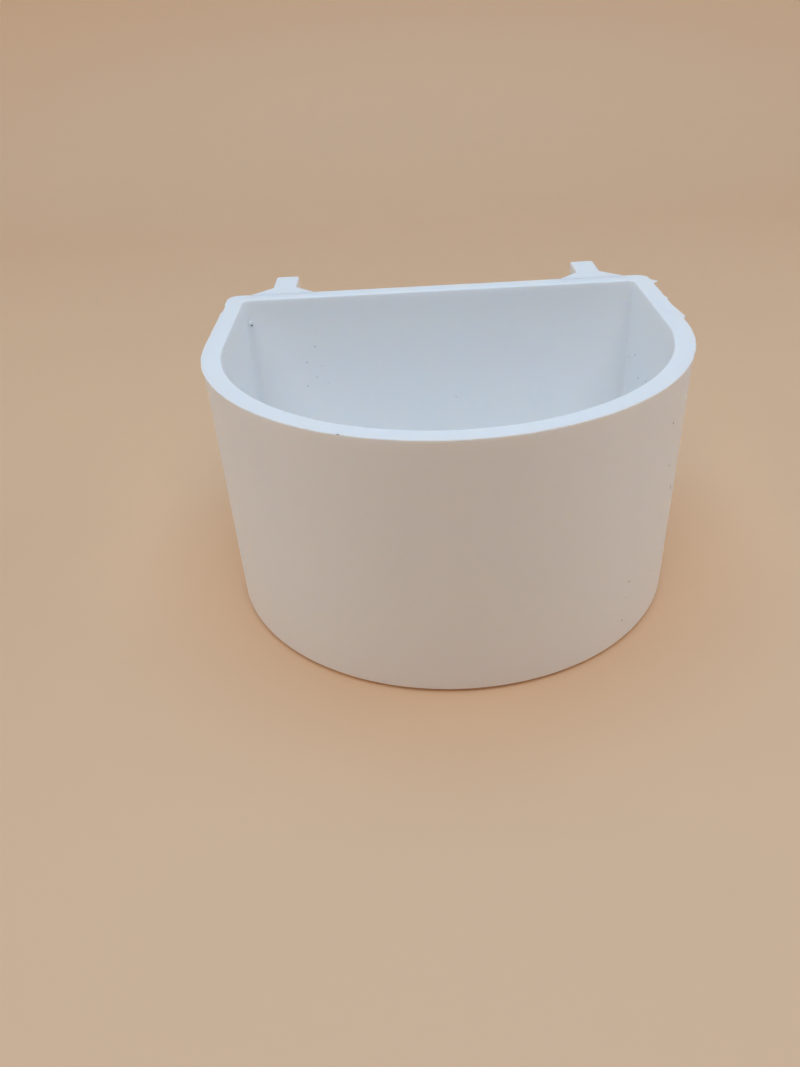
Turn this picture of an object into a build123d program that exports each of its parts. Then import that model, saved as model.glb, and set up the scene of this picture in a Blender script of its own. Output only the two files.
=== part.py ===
"""Seed cup that hangs on a cage bar by two hooks behind its flat back wall.

Frame: millimetres, +Z up. The origin is on the underside of the base, at the centre
of the round front. The front faces -Y, and the hooks stand out behind towards +Y.
"""
import os

from build123d import *

# Cup: overall sizes at the rim, and the draft that narrows it towards the base
CUP_WIDTH = 79.5
SIDE_LENGTH = 27.05
CUP_HEIGHT = 44.0
DRAFT_DEG = 1.4

# Cup: wall, floor and the rounding of the edges
WALL = 3.0
FLOOR = 3.0
BACK_CORNER_RADIUS = 2.0
INNER_CORNER_RADIUS = 1.2
FLOOR_FILLET = 3.0
BASE_ROUND = 1.4
RIM_ROUND = 0.3

# Hooks: top view of the arm, with a gusset on each side of its root
HOOK_INSET = 10.15
HOOK_WIDTH = 4.5
HOOK_REACH = 11.45
GUSSET_LEG = 4.2
GUSSET_BLEND = 0.8
TIP_ROUND = 0.5

# Hooks: side view of the arm and of the lip that turns down behind the bar
ARM_DEPTH = 3.4
LIP_THICKNESS = 3.1
LIP_END_THICKNESS = 2.2
HOOK_DROP = 16.0
CROOK_FILLET = 1.5

# Hooks: the root is let into the back wall, past the rounded edge of the rim
SEAT_MARGIN = 0.5
SEAT_STEP = 1.0

# Sizes that follow from the ones above
HOOK_CENTRE = CUP_WIDTH / 2 - HOOK_INSET
ROOT_WIDTH = HOOK_WIDTH + 2 * GUSSET_LEG + GUSSET_BLEND
SEAT_INSET = RIM_ROUND + SEAT_MARGIN
SEAT_DEPTH = ARM_DEPTH - SEAT_STEP
LIP_END_ROUND = 0.4 * LIP_END_THICKNESS
RIM_PLANE = Plane.XY.offset(CUP_HEIGHT)


def drafted_block(inset, depth):
    """The outline of the cup at the rim, moved in by inset, run down and drafted."""
    radius = CUP_WIDTH / 2 - inset
    back = SIDE_LENGTH - inset
    front = ThreePointArc((-radius, 0), (0, -radius), (radius, 0))
    sides = Polyline((radius, 0), (radius, back), (-radius, back), (-radius, 0))
    block = extrude(RIM_PLANE * make_face(front + sides), amount=-depth)
    walls = [face for face in block.faces() if abs(face.normal_at().Z) < 0.5]
    return draft(walls, RIM_PLANE, -DRAFT_DEG)


def round_back_corners(block, radius):
    """Round the two upright edges where the side walls meet the back wall."""
    upright = block.edges().filter_by(lambda edge: abs(edge.tangent_at(0.5).Z) > 0.9)
    return fillet(upright.sort_by(Axis.Y)[-2:], radius)


def make_outside():
    """The cup as a solid block, with its back corners, base and rim rounded."""
    block = round_back_corners(drafted_block(0, CUP_HEIGHT), BACK_CORNER_RADIUS)
    block = fillet(block.faces().sort_by(Axis.Z)[0].edges(), BASE_ROUND)
    return fillet(block.faces().sort_by(Axis.Z)[-1].edges(), RIM_ROUND)


def make_inside():
    """The hollow: the same draft keeps the wall even, and a fillet rings the floor."""
    block = drafted_block(WALL, CUP_HEIGHT - FLOOR)
    with_floor = fillet(block.faces().sort_by(Axis.Z)[0].edges(), FLOOR_FILLET)
    return with_floor & round_back_corners(block, INNER_CORNER_RADIUS)


def make_cup():
    """The moulded shell, with a seat in the back wall for the root of each hook."""
    cup = make_outside() - make_inside()
    mouth = cup.faces().sort_by(Axis.Z)[-1].inner_wires()[0]
    cup = fillet(mouth.edges(), RIM_ROUND)
    seat = Box(ROOT_WIDTH, 2 * SEAT_INSET, 2 * SEAT_DEPTH)
    for side in (-1, 1):
        cup -= Pos(side * HOOK_CENTRE, SIDE_LENGTH, CUP_HEIGHT) * seat
    return cup


def hook_plan():
    """Top view of a hook about its own centre line, with y = 0 at the back of the rim."""
    half = HOOK_WIDTH / 2
    gusset = half + GUSSET_LEG
    root = ROOT_WIDTH / 2
    outline = Polyline(
        (-root, -SEAT_INSET),
        (-root, 0),
        (-gusset, 0),
        (-half, GUSSET_LEG),
        (-half, HOOK_REACH),
        (half, HOOK_REACH),
        (half, GUSSET_LEG),
        (gusset, 0),
        (root, 0),
        (root, -SEAT_INSET),
        close=True,
    )
    plan = make_face(outline)
    on_wall = plan.vertices().group_by(Axis.Y)[1].sort_by(Axis.X)
    on_arm = plan.vertices().group_by(Axis.Y)[2]
    plan = fillet(on_wall[1:-1] + on_arm, GUSSET_BLEND)
    return fillet(plan.vertices().group_by(Axis.Y)[-1], TIP_ROUND)


def hook_profile():
    """Side view of a hook, with x = 0 at the back of the rim and y = 0 on its top."""
    crook = (HOOK_REACH - LIP_THICKNESS, -ARM_DEPTH)
    outline = Polyline(
        (-SEAT_INSET, 0),
        (HOOK_REACH, 0),
        (HOOK_REACH, -HOOK_DROP),
        (HOOK_REACH - LIP_END_THICKNESS, -HOOK_DROP),
        crook,
        (-SEAT_INSET, -ARM_DEPTH),
        close=True,
    )
    profile = make_face(outline)
    profile = fillet(profile.vertices().sort_by_distance(crook)[0], CROOK_FILLET)
    return fillet(profile.vertices().group_by(Axis.Y)[0], LIP_END_ROUND)


def make_hook(side, cup):
    """One hook in place: what its two views have in common, cut to fit the back wall."""
    from_above = extrude(hook_plan(), amount=-HOOK_DROP)
    from_side = extrude(Plane.YZ * hook_profile(), amount=ROOT_WIDTH, both=True)
    hook = from_above & from_side
    top_edges = hook.faces().sort_by(Axis.Z)[-1].edges()
    hook = fillet(top_edges.filter_by(lambda edge: edge.center().Y > -SEAT_INSET / 4), RIM_ROUND)
    return Pos(side * HOOK_CENTRE, SIDE_LENGTH, CUP_HEIGHT) * hook - cup


cup_body = make_cup()
pieces = {
    "cup_body": cup_body,
    "left_hook": make_hook(-1, cup_body),
    "right_hook": make_hook(1, cup_body),
}

os.makedirs("parts", exist_ok=True)
for node, solid in pieces.items():
    export_step(solid, f"parts/{node}.step")
    print(node, len(solid.solids()), "solid", round(solid.volume, 1), "mm3")
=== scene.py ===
import math

import bmesh
import bpy
from mathutils import Matrix, Vector, noise


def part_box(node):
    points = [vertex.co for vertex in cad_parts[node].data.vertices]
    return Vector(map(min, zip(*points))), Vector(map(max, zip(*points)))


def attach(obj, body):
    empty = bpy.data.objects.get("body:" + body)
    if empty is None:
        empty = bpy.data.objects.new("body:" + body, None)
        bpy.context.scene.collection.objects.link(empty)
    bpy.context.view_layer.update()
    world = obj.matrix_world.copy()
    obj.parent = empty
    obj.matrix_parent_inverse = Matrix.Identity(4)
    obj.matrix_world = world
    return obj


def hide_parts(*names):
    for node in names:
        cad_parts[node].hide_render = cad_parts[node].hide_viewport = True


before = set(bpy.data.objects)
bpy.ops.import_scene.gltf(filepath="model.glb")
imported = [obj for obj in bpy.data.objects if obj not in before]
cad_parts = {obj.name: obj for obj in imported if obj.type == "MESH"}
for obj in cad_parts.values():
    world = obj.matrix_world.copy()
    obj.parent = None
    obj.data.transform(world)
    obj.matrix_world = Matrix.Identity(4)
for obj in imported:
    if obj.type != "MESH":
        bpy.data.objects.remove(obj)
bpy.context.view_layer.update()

# Cup body: the shell that holds the seed, with a round front, straight sides and a flat back.
# It is one piece of milky white plastic, 3 mm thick, narrowing a little towards its base. Its rim was
# formed on a flat plate, which left a thin ragged flash round the outer edge.
cup_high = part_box("cup_body")[1]
rim_radius = cup_high.x
rim_z = cup_high.z
back_y = cup_high.y
cup_wall = 0.0030
cup_floor = 0.0030
draft = math.tan(math.radians(1.4))
corner_radius = 0.0020
inner_corner_radius = 0.0012
least_corner = 0.0003
floor_fillet = 0.0030
base_tuck = 0.0028
base_rise = 0.0008
rim_round = 0.0003
front_steps = 240
side_steps = 100
corner_steps = 8
back_steps = 150
round_steps = 6
wall_rows = 8
weld = 1e-6


def add_node(tree, kind, **inputs):
    """One shader node, with its input sockets set by name, or linked where the value is a socket."""
    node = tree.nodes.new(kind)
    for socket, value in inputs.items():
        place = node.inputs[socket.replace("_", " ")]
        if isinstance(value, bpy.types.NodeSocket):
            tree.links.new(value, place)
        else:
            place.default_value = value
    return node


def milky_plastic(name):
    """White plastic that light sinks into: faint clouding, a satin skin with a fine grain."""
    plastic_white = (0.955, 0.96, 0.96, 1.0)
    plastic_shade = (0.93, 0.937, 0.94, 1.0)
    finish = bpy.data.materials.new(name)
    finish.use_nodes = True
    tree = finish.node_tree
    shader = tree.nodes["Principled BSDF"]
    place = tree.nodes.new("ShaderNodeTexCoord").outputs["Object"]
    clouds = add_node(tree, "ShaderNodeTexNoise", Vector=place, Scale=70.0, Detail=4.0)
    skin = add_node(tree, "ShaderNodeTexNoise", Vector=place, Scale=900.0, Detail=3.0)
    grain = add_node(tree, "ShaderNodeTexNoise", Vector=place, Scale=6000.0, Detail=2.0)
    tint = tree.nodes.new("ShaderNodeValToRGB")
    tint.color_ramp.elements[0].position = 0.32
    tint.color_ramp.elements[0].color = plastic_shade
    tint.color_ramp.elements[1].position = 0.62
    tint.color_ramp.elements[1].color = plastic_white
    tree.links.new(clouds.outputs["Fac"], tint.inputs["Fac"])
    gloss = add_node(tree, "ShaderNodeMapRange", Value=skin.outputs["Fac"], To_Min=0.40, To_Max=0.56)
    ripple = add_node(tree, "ShaderNodeBump", Height=skin.outputs["Fac"], Strength=0.12, Distance=0.0002)
    pores = add_node(tree, "ShaderNodeBump", Height=grain.outputs["Fac"], Strength=0.15, Distance=0.00005)
    tree.links.new(ripple.outputs["Normal"], pores.inputs["Normal"])
    tree.links.new(tint.outputs["Color"], shader.inputs["Base Color"])
    tree.links.new(gloss.outputs["Result"], shader.inputs["Roughness"])
    tree.links.new(pores.outputs["Normal"], shader.inputs["Normal"])
    shader.inputs["IOR"].default_value = 1.47
    shader.inputs["Subsurface Weight"].default_value = 0.9
    shader.inputs["Subsurface Radius"].default_value = (1.0, 0.9, 0.8)
    shader.inputs["Subsurface Scale"].default_value = 0.0010
    return finish


def seat_piece(name, bm, *finishes):
    """Weld a mesh, turn its faces out, give it its finishes and let it ride on the part's one body."""
    bmesh.ops.remove_doubles(bm, verts=bm.verts, dist=weld)
    bmesh.ops.recalc_face_normals(bm, faces=bm.faces)
    mesh = bpy.data.meshes.new(name)
    bm.to_mesh(mesh)
    bm.free()
    for finish in finishes:
        mesh.materials.append(finish)
    piece = bpy.data.objects.new(name, mesh)
    bpy.context.collection.objects.link(piece)
    mesh.shade_smooth()
    mesh.set_sharp_from_angle(angle=math.radians(40))
    even = piece.modifiers.new("even_shading", "WEIGHTED_NORMAL")
    even.keep_sharp = True
    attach(piece, "root")
    return piece


def draw_on(bm, end, steps, centre=(0, 0, 0), angle=0, run=(0, 0, 0)):
    """Draw a line of edges on from its end, straight on or round an upright axis; gives the new end."""
    step = Vector(run) / steps
    line = bmesh.ops.spin(
        bm, geom=[end], cent=centre, axis=(0, 0, 1), angle=angle, dvec=step, steps=steps
    )
    return [item for item in line["geom_last"] if isinstance(item, bmesh.types.BMVert)][0]


def draw_ring(bm, inset, corner, z):
    """Draw the cup's outline at one level, set in from the rim's outline, as a closed ring of edges."""
    radius = rim_radius - inset
    side = back_y - inset - corner
    start = bm.verts.new((-radius, 0, z))
    end = draw_on(bm, start, front_steps, angle=math.pi)
    end = draw_on(bm, end, side_steps, run=(0, side, 0))
    end = draw_on(bm, end, corner_steps, centre=(radius - corner, side, z), angle=math.pi / 2)
    end = draw_on(bm, end, back_steps, run=(2 * corner - 2 * radius, 0, 0))
    end = draw_on(bm, end, corner_steps, centre=(corner - radius, side, z), angle=math.pi / 2)
    end = draw_on(bm, end, side_steps, run=(0, -side, 0))
    bmesh.ops.weld_verts(bm, targetmap={end: start})


# Flash: how far it stands out at its upper edge and at its root, its height, and how that edge varies
flash_proud = 0.00025
flash_root = 0.00005
flash_height = 0.00045
flash_edge = 0.00010
flash_least = 0.00003
flash_root_share = 0.2
flash_front_loss = 0.00010
flash_ripple = 0.00006
flash_pitch = 450.0
# Tears in the flash: the side, where each starts along it, its tip and its end, how far it stands out,
# and the power that its slopes rise by
flash_tears = (
    (1, 0.0246, 0.0229, 0.0214, 0.0013, 2.2),
    (1, 0.0139, 0.0127, 0.0117, 0.0003, 1.0),
    (1, 0.0091, 0.0025, 0.0019, 0.0006, 0.8),
    (-1, 0.0222, 0.0193, 0.0170, -0.0004, 1.0),
)


def flash_reach(place):
    """How much further the flash stands out at a place on the rim, from its ripple and its tears."""
    reach = flash_ripple * (noise.noise(place * flash_pitch) + noise.noise(place * flash_pitch / 4))
    reach -= flash_front_loss * max(0, -place.y) / rim_radius
    for side, start, tip, end, height, power in flash_tears:
        beside = place.x * side > rim_radius - corner_radius
        if beside and tip <= place.y < start:
            reach += height * ((start - place.y) / (start - tip)) ** power
        elif beside and end < place.y < tip:
            reach += height * ((place.y - end) / (tip - end)) ** power
    return max(reach, flash_least - flash_proud)


def from_spine(place):
    """The way to a place on the rim from a line that runs one corner radius inside the rim's outline."""
    reach = rim_radius - corner_radius
    spine = Vector((max(-reach, min(reach, place.x)), min(place.y, back_y - corner_radius), place.z))
    if place.y < 0:
        spine.xy = place.xy.normalized() * reach
    return place - spine


def inset_at(z):
    """How far the draft has brought the wall in at a height."""
    return (rim_z - z) * draft


# Levels of the cup's skin, as inset, corner radius and height: outside, from the base up to the flash
quarter = [math.pi / 2 * step / round_steps for step in range(round_steps + 1)]
levels = []
for turn in quarter:
    tuck = base_tuck * (1 - math.sin(turn))
    corner = max(corner_radius - tuck, least_corner)
    levels.append((inset_at(base_rise) + tuck, corner, base_rise * (1 - math.cos(turn))))
wall_top = rim_z - flash_height
for row in range(1, wall_rows + 1):
    z = base_rise + (wall_top - base_rise) * row / wall_rows
    levels.append((inset_at(z), corner_radius, z))
levels.append((-flash_root, corner_radius + flash_root, wall_top))
levels.append((-flash_proud, corner_radius + flash_proud, rim_z - flash_edge))
levels.append((flash_edge - flash_proud, corner_radius + flash_proud - flash_edge, rim_z))
# Inside, from the mouth down the inner wall to the fillet round the floor
for turn in quarter:
    tuck = rim_round * (1 - math.sin(turn))
    levels.append((cup_wall - tuck, inner_corner_radius + tuck, rim_z - rim_round * (1 - math.cos(turn))))
wall_bottom = cup_floor + floor_fillet
for row in range(1, wall_rows + 1):
    z = rim_z - rim_round - (rim_z - rim_round - wall_bottom) * row / wall_rows
    levels.append((cup_wall + inset_at(z), inner_corner_radius, z))
for turn in quarter[1:]:
    tuck = floor_fillet * (1 - math.cos(turn))
    corner = max(inner_corner_radius - tuck, least_corner)
    inset = cup_wall + inset_at(wall_bottom) + tuck
    levels.append((inset, corner, wall_bottom - floor_fillet * math.sin(turn)))

# Each band of the skin is bridged on its own. Then the flash, which lies outside the rim's outline, is
# drawn out into its ripple and its tears
cup = bmesh.new()
for below, above in zip(levels, levels[1:]):
    band = bmesh.new()
    draw_ring(band, *below)
    draw_ring(band, *above)
    bmesh.ops.bridge_loops(band, edges=band.edges[:])
    strip = bpy.data.meshes.new("strip")
    band.to_mesh(strip)
    band.free()
    cup.from_mesh(strip)
    bpy.data.meshes.remove(strip)
bmesh.ops.remove_doubles(cup, verts=cup.verts, dist=weld)
bmesh.ops.holes_fill(cup, edges=cup.edges[:])
bmesh.ops.recalc_face_normals(cup, faces=cup.faces)
for vert in cup.verts:
    out = from_spine(vert.co)
    if vert.co.z > wall_top - weld and out.length > corner_radius + weld:
        share = flash_root_share if vert.co.z < wall_top + weld else 1
        vert.co += out.normalized() * share * flash_reach(Vector((vert.co.x, vert.co.y, rim_z)))


def painted_pit_shade(name, deep, pale):
    """Painted shade for the pits and hollows of the skin, in grey specks of two tones."""
    finish = bpy.data.materials.new(name)
    finish.use_nodes = True
    tree = finish.node_tree
    shader = tree.nodes["Principled BSDF"]
    place = tree.nodes.new("ShaderNodeTexCoord").outputs["Object"]
    specks = add_node(tree, "ShaderNodeTexNoise", Vector=place, Scale=9000.0, Detail=2.0)
    tint = tree.nodes.new("ShaderNodeValToRGB")
    tint.color_ramp.elements[0].color = deep
    tint.color_ramp.elements[1].color = pale
    tree.links.new(specks.outputs["Fac"], tint.inputs["Fac"])
    tree.links.new(tint.outputs["Color"], shader.inputs["Base Color"])
    shader.inputs["Roughness"].default_value = 0.9
    return finish


def carve(bm, tools, operation, *finishes):
    """Cut the tools out of a mesh or join them on, with an exact Boolean; gives what is left."""
    held = []
    for name, part in (("work", bm), ("tools", tools)):
        mesh = bpy.data.meshes.new(name)
        part.to_mesh(mesh)
        part.free()
        for finish in finishes:
            mesh.materials.append(finish)
        held.append(bpy.data.objects.new(name, mesh))
        bpy.context.collection.objects.link(held[-1])
    work, tool = held
    change = work.modifiers.new("carve", "BOOLEAN")
    change.operation = operation
    change.solver = "EXACT"
    change.object = tool
    left = bmesh.new()
    left.from_object(work, bpy.context.evaluated_depsgraph_get())
    for item in held:
        bpy.data.meshes.remove(item.data)
    return left


# Pits that bubbles left in the skin, each by its place along its wall, its height and its radius; the place
# of one in the round front is in degrees round it
back_pits = (
    (-0.0241, 0.0343, 0.00013),
    (-0.0260, 0.0312, 0.00012),
    (-0.0231, 0.0303, 0.00008),
    (-0.0243, 0.0281, 0.00009),
    (-0.0263, 0.0263, 0.00013),
    (-0.0221, 0.0267, 0.00008),
    (-0.0310, 0.0301, 0.00007),
    (0.0031, 0.0225, 0.00010),
)
side_pits = (
    (0.0213, 0.0300, 0.00012),
    (0.0169, 0.0320, 0.00019),
    (0.0130, 0.0289, 0.00016),
    (0.0076, 0.0305, 0.00018),
)
front_pits = (
    (-34.2, 0.0363, 0.00020),
    (-32.6, 0.0286, 0.00016),
    (-27.1, 0.0230, 0.00030),
    (-26.3, 0.0223, 0.00018),
    (-33.4, 0.0203, 0.00012),
    (-36.2, 0.0103, 0.00014),
    (-46.5, 0.0121, 0.00016),
    (-47.3, 0.0092, 0.00010),
    (-47.6, 0.0048, 0.00014),
)
# A pip that stands out of the inner wall, a gap under it, and a nick in the rim, by place and half sizes
pip_place = Vector((-0.03597, 0.02390, 0.0397))
pip_half = Vector((0.00043, 0.00034, 0.00042))
# The gap is lined with dark grey as the painted shadow under the pip
gap_place = Vector((-0.03585, 0.02392, 0.0391))
gap_half = Vector((0.00034, 0.00020, 0.00010))
nick_place = Vector((-0.01622, -0.03660, 0.0440))
nick_half = Vector((0.00050, 0.00024, 0.00022))
# Every bore, with the index of the material that lies in it; both are painted shade, 1 the darker grey and
# 2 the paler
bores = [(gap_place, gap_half, 1), (nick_place, nick_half, 2)]
for x, z, radius in back_pits:
    place = Vector((x, back_y - cup_wall - inset_at(z), z))
    bores.append((place, Vector((radius, radius, radius)), 2))
for y, z, radius in side_pits:
    place = Vector((rim_radius - cup_wall - inset_at(z), y, z))
    bores.append((place, Vector((radius, radius, radius)), 1))
for degrees, z, radius in front_pits:
    turn = Matrix.Rotation(math.radians(degrees), 3, "Z")
    place = turn @ Vector((rim_radius - inset_at(z), 0, z))
    bores.append((place, Vector((radius, radius, radius)), 2))
white_plastic = milky_plastic("white_plastic")
# The cup's finishes: the plastic, then the darker and the paler grey of the painted shade in the pits, the
# gap and the nick
cup_finishes = (
    white_plastic,
    painted_pit_shade("painted_pit_shade_dark", (0.12, 0.12, 0.13, 1.0), (0.36, 0.35, 0.35, 1.0)),
    painted_pit_shade("painted_pit_shade_pale", (0.34, 0.33, 0.33, 1.0), (0.60, 0.59, 0.58, 1.0)),
)
pip = bmesh.new()
pip_shape = Matrix.LocRotScale(pip_place, None, pip_half)
bmesh.ops.create_icosphere(pip, subdivisions=3, radius=1.0, matrix=pip_shape)
cup = carve(cup, pip, "UNION", *cup_finishes)
borers = bmesh.new()
for place, half, finish_index in bores:
    shape = Matrix.LocRotScale(place, None, half)
    ball = bmesh.ops.create_icosphere(borers, subdivisions=2, radius=1.0, matrix=shape)
    for face in {face for vert in ball["verts"] for face in vert.link_faces}:
        face.material_index = finish_index
cup = carve(cup, borers, "DIFFERENCE", *cup_finishes)
moulded_cup = seat_piece("moulded_cup", cup, *cup_finishes)
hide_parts("cup_body")

# Hooks: two arms level with the rim that stand out behind and turn down over a cage bar.
# Each is the same white plastic as the cup, moulded with it as part of its back wall, with a gusset on each
# side of its root.
hook_width = 0.0045
gusset_leg = 0.0042
gusset_blend = 0.0008
tip_round = 0.0005
arm_depth = 0.0034
lip_thickness = 0.0031
lip_end_thickness = 0.0022
crook_fillet = 0.0015
lip_end_round = 0.00045
hook_lift = 1e-5
blend_facets = 6
edge_facets = 5


def round_edges(bm, edges, radius, segments):
    """Round these edges by a radius, in a number of facets."""
    bmesh.ops.bevel(
        bm, geom=edges, offset=radius, affect="EDGES", segments=segments, profile=0.5, material=-1
    )


def level_edges(bm, z):
    """The edges that lie at one height, between a level face and a face that isn't level."""
    found = []
    for edge in bm.edges:
        level = all(abs(vert.co.z - z) < weld for vert in edge.verts)
        flat = [face for face in edge.link_faces if abs(face.normal.z) > 0.99]
        if level and len(flat) == 1:
            found.append(edge)
    return found


for node in ("left_hook", "right_hook"):
    hook_low, hook_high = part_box(node)
    centre_x = (hook_low.x + hook_high.x) / 2
    tip_y = hook_high.y
    toe = hook_width / 2 + gusset_leg + rim_round
    hook = bmesh.new()
    half_plan = (
        (toe, back_y - rim_round),
        (hook_width / 2, back_y + gusset_leg),
        (hook_width / 2, tip_y),
    )
    right_side = [hook.verts.new((x, y, rim_z + hook_lift)) for x, y in half_plan]
    left_side = [hook.verts.new((-x, y, rim_z + hook_lift)) for x, y in reversed(half_plan)]
    bmesh.ops.contextual_create(hook, geom=right_side + left_side)
    blend_reach = gusset_blend * math.tan(math.pi / 8)
    for y, reach in ((back_y + gusset_leg, blend_reach), (tip_y, tip_round)):
        corners = [vert for vert in hook.verts if abs(vert.co.y - y) < weld]
        bmesh.ops.bevel(
            hook,
            geom=corners,
            offset=reach,
            affect="VERTICES",
            segments=blend_facets,
            profile=0.5,
            material=-1,
        )
    arm = bmesh.ops.extrude_face_region(hook, geom=hook.faces[:])
    arm_bottom = [item for item in arm["geom"] if isinstance(item, bmesh.types.BMVert)]
    bmesh.ops.translate(hook, verts=arm_bottom, vec=(0, 0, -arm_depth))
    lip_y = tip_y - lip_thickness
    everything = hook.verts[:] + hook.edges[:] + hook.faces[:]
    bmesh.ops.bisect_plane(hook, geom=everything, plane_co=(0, lip_y, 0), plane_no=(0, 1, 0))
    under_arm = rim_z - arm_depth + rim_round
    under_tip = []
    for face in hook.faces:
        middle = face.calc_center_median()
        if middle.y > lip_y and middle.z < under_arm:
            under_tip.append(face)
    lip = bmesh.ops.extrude_face_region(hook, geom=under_tip)
    lip_end = [item for item in lip["geom"] if isinstance(item, bmesh.types.BMVert)]
    bmesh.ops.delete(hook, geom=under_tip, context="FACES")
    bmesh.ops.translate(hook, verts=lip_end, vec=(0, 0, hook_low.z + arm_depth - rim_z - hook_lift))
    inner_end = [vert for vert in lip_end if abs(vert.co.y - lip_y) < weld]
    bmesh.ops.translate(hook, verts=inner_end, vec=(0, lip_thickness - lip_end_thickness, 0))
    bmesh.ops.recalc_face_normals(hook, faces=hook.faces)
    crook = []
    for edge in hook.edges:
        if all(abs(vert.co.y - lip_y) < weld and vert.co.z < under_arm for vert in edge.verts):
            crook.append(edge)
    round_edges(hook, crook, crook_fillet, blend_facets)
    round_edges(hook, level_edges(hook, hook_low.z), lip_end_round, edge_facets)
    top_edges = []
    for edge in level_edges(hook, rim_z + hook_lift):
        if edge.verts[0].co.y + edge.verts[1].co.y > 2 * back_y:
            top_edges.append(edge)
    round_edges(hook, top_edges, rim_round, edge_facets)
    bmesh.ops.translate(hook, verts=hook.verts, vec=(centre_x, 0, 0))
    arm_piece = seat_piece(node + "_arm", hook, white_plastic)
    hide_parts(node)

# Floor and backdrop: a plain sheet of pale warm card. It lies flat under the cup and sweeps up behind it.
floor_front = -0.55
floor_back = 0.26
floor_half_width = 0.55
sweep_radius = 0.12
sweep_steps = 24
backdrop_height = 0.8
card_colour = (0.82, 0.53, 0.32, 1.0)
card = bmesh.new()
edge_start = card.verts.new((-floor_half_width, floor_front, 0))
run = bmesh.ops.extrude_vert_indiv(card, verts=[edge_start])["verts"]
bmesh.ops.translate(card, verts=run, vec=(0, floor_back - floor_front, 0))
sweep = bmesh.ops.spin(
    card,
    geom=run,
    cent=(0, floor_back, sweep_radius),
    axis=(1, 0, 0),
    angle=math.pi / 2,
    steps=sweep_steps,
)
top = [item for item in sweep["geom_last"] if isinstance(item, bmesh.types.BMVert)]
rise = bmesh.ops.extrude_vert_indiv(card, verts=top)["verts"]
bmesh.ops.translate(card, verts=rise, vec=(0, 0, backdrop_height))
strip = bmesh.ops.extrude_edge_only(card, edges=card.edges[:])["geom"]
far_side = [item for item in strip if isinstance(item, bmesh.types.BMVert)]
bmesh.ops.translate(card, verts=far_side, vec=(2 * floor_half_width, 0, 0))
bmesh.ops.recalc_face_normals(card, faces=card.faces)
card_mesh = bpy.data.meshes.new("floor")
card.to_mesh(card_mesh)
card.free()
card_mesh.shade_smooth()
card_finish = bpy.data.materials.new("pale_card")
card_finish.use_nodes = True
card_shader = card_finish.node_tree.nodes["Principled BSDF"]
card_shader.inputs["Base Color"].default_value = card_colour
card_shader.inputs["Roughness"].default_value = 0.6
card_mesh.materials.append(card_finish)
floor = bpy.data.objects.new("floor", card_mesh)
bpy.context.collection.objects.link(floor)

# Light: a large cool softbox above, a warm one in front and a weaker neutral one on each side. The room
# round them lights almost nothing, and where it is seen past the card it has the card's own tone.
softboxes = (
    ("softbox_above", (0, 0.06, 0.65), 0.60, 2.55, (0.34, 0.67, 1.0)),
    ("softbox_front", (0, -0.34, 0.54), 0.50, 1.45, (1.0, 0.92, 0.88)),
    ("softbox_left", (-0.60, 0, 0.25), 0.50, 0.95, (1.0, 1.0, 0.98)),
    ("softbox_right", (0.60, 0, 0.25), 0.50, 0.95, (1.0, 1.0, 1.0)),
)
for name, place, width, power, colour in softboxes:
    softbox = bpy.data.lights.new(name, "AREA")
    softbox.size = width
    softbox.energy = power
    softbox.color = colour
    lamp = bpy.data.objects.new(name, softbox)
    lamp.location = place
    lamp.rotation_euler = (-Vector(place)).to_track_quat("-Z", "Y").to_euler()
    bpy.context.collection.objects.link(lamp)
room_light = 0.02
room_colour = (0.55, 0.40, 0.28, 1.0)
room = bpy.data.worlds.new("room")
room.use_nodes = True
room_tree = room.node_tree
lit_room = room_tree.nodes["Background"]
lit_room.inputs["Strength"].default_value = room_light
seen_room = add_node(room_tree, "ShaderNodeBackground", Color=room_colour)
path = room_tree.nodes.new("ShaderNodeLightPath")
seen = path.outputs["Is Camera Ray"]
for ray in ("Is Glossy Ray", "Is Transmission Ray"):
    either = room_tree.nodes.new("ShaderNodeMath")
    either.operation = "MAXIMUM"
    room_tree.links.new(seen, either.inputs[0])
    room_tree.links.new(path.outputs[ray], either.inputs[1])
    seen = either.outputs["Value"]
choose = room_tree.nodes.new("ShaderNodeMixShader")
room_tree.links.new(seen, choose.inputs[0])
room_tree.links.new(lit_room.outputs["Background"], choose.inputs[1])
room_tree.links.new(seen_room.outputs["Background"], choose.inputs[2])
room_tree.links.new(choose.outputs["Shader"], room_tree.nodes["World Output"].inputs["Surface"])
bpy.context.scene.world = room
bpy.context.scene.view_settings.view_transform = "Standard"

# Camera: where the photograph was taken from, a little left of the middle and looking down at the cup,
# with a slight roll.
camera_aside = -0.00645
camera_before = 0.14447
camera_above_rim = 0.0513
camera_elevation = math.radians(31.87)
camera_azimuth = math.radians(1.12)
camera_roll = math.radians(-3.35)
view = bpy.data.cameras.new("camera")
view.lens = 30.46
view.sensor_width = 36.0
view.clip_start = 0.01
camera = bpy.data.objects.new("camera", view)
camera.matrix_world = (
    Matrix.Translation((camera_aside, -camera_before, rim_z + camera_above_rim))
    @ Matrix.Rotation(camera_azimuth, 4, "Z")
    @ Matrix.Rotation(math.pi / 2 - camera_elevation, 4, "X")
    @ Matrix.Rotation(camera_roll, 4, "Z")
)
bpy.context.collection.objects.link(camera)
bpy.context.scene.camera = camera
